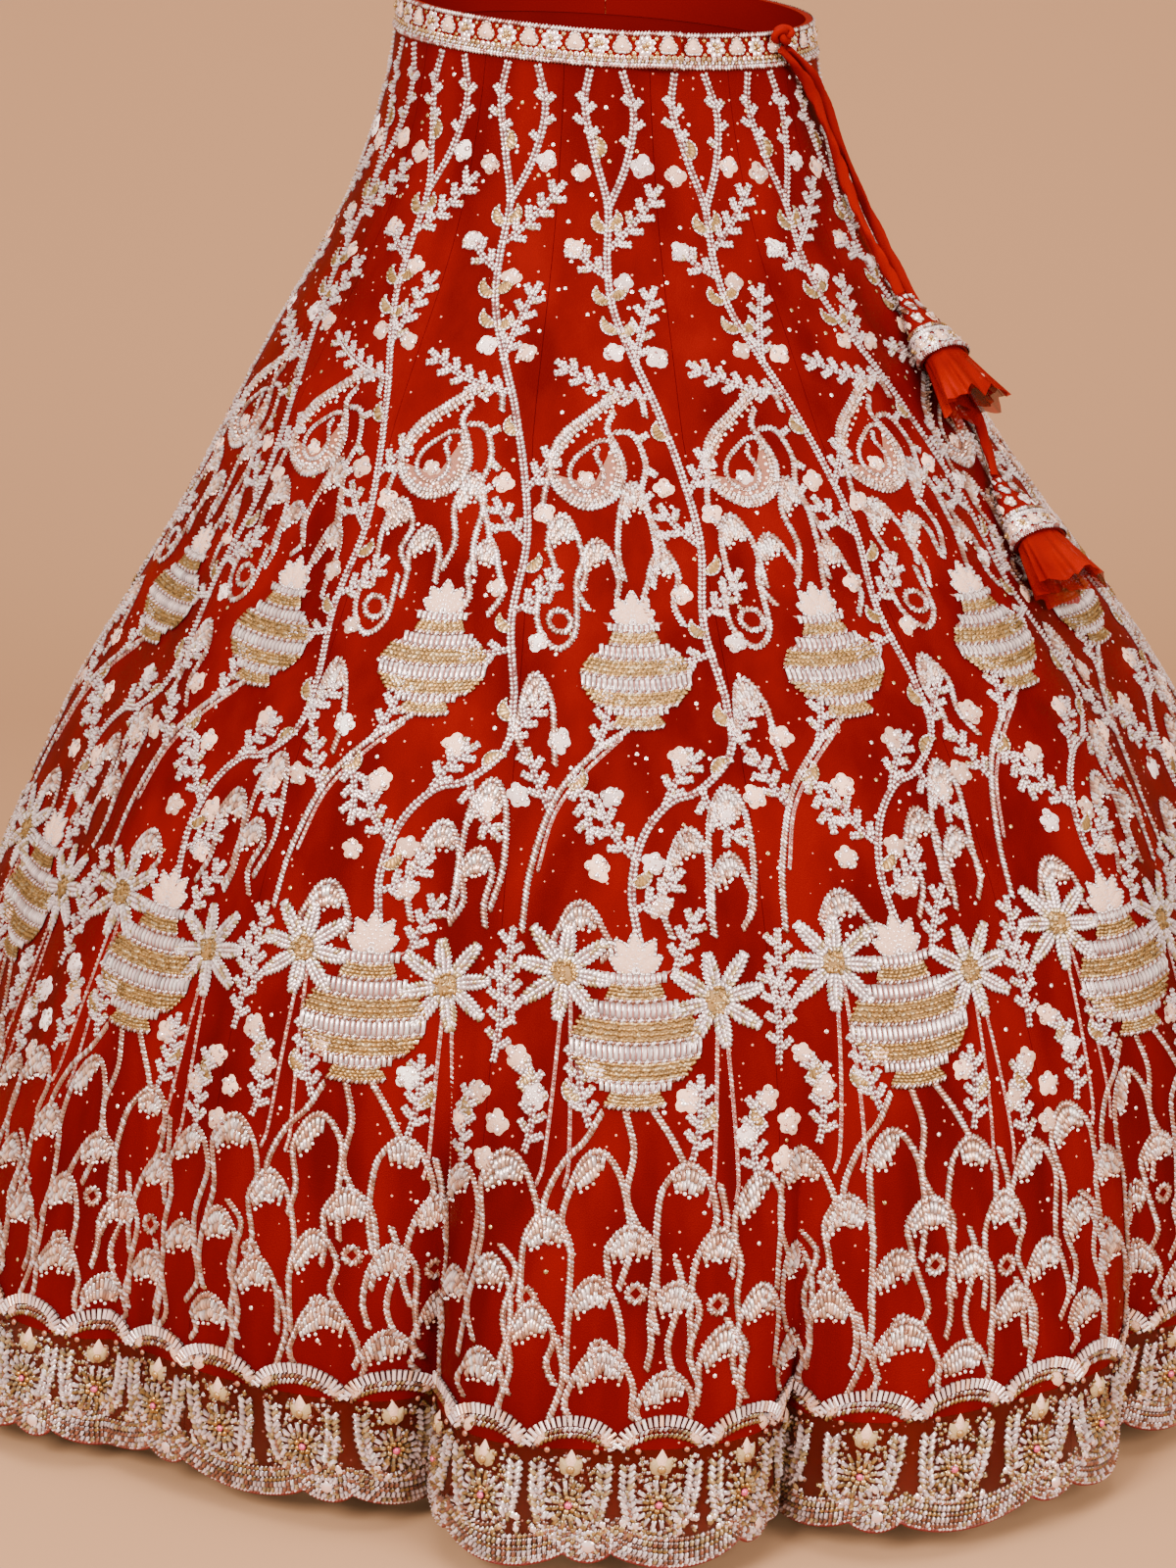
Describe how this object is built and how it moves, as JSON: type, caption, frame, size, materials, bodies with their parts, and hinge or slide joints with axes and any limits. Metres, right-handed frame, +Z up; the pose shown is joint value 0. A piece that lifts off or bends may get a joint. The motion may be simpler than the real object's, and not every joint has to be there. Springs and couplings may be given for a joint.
{
  "type": "lehenga skirt",
  "caption": "Flared floor-length lehenga skirt in its worn shape: beaded net kalis over a lining, waistband, scalloped hem and drawstring with tassels.",
  "frame": {"origin": "middle of the waist opening, at the mean height of the waistband's top edge, where the wearer holds the skirt up", "axes": "+Z up out of the waist opening, -Y towards the front of the skirt, +X towards the side with the drawstring"},
  "size_m": [1.0954, 1.086, 0.9563],
  "materials": {
    "embroidered_net": "red net covered with silver, blush and gold beadwork",
    "satin_lining": "smooth red satin",
    "beaded_band": "red band covered with beads and sequins",
    "dori_cloth": "matt red fabric tube",
    "tassel_net": "gathered orange-red net"
  },
  "bodies": {
    "root": {"kali_01": "embroidered_net", "kali_02": "embroidered_net", "kali_03": "embroidered_net", "kali_04": "embroidered_net", "kali_05": "embroidered_net", "kali_06": "embroidered_net", "kali_07": "embroidered_net", "kali_08": "embroidered_net", "kali_09": "embroidered_net", "kali_10": "embroidered_net", "kali_11": "embroidered_net", "kali_12": "embroidered_net", "kali_13": "embroidered_net", "kali_14": "embroidered_net", "kali_15": "embroidered_net", "kali_16": "embroidered_net", "lining_01": "satin_lining", "lining_02": "satin_lining", "lining_03": "satin_lining", "lining_04": "satin_lining", "lining_05": "satin_lining", "lining_06": "satin_lining", "lining_07": "satin_lining", "lining_08": "satin_lining", "waistband_front": "beaded_band", "waistband_overlap": "beaded_band", "waistband_back_right": "beaded_band", "waistband_back_left": "beaded_band", "dori_knot": "dori_cloth", "dori_tail_1": "dori_cloth", "dori_tail_2": "dori_cloth", "tassel_cone_1": "embroidered_net", "tassel_cone_2": "embroidered_net", "tassel_ruffle_1": "tassel_net", "tassel_ruffle_2": "tassel_net"}
  },
  "joints": []
}
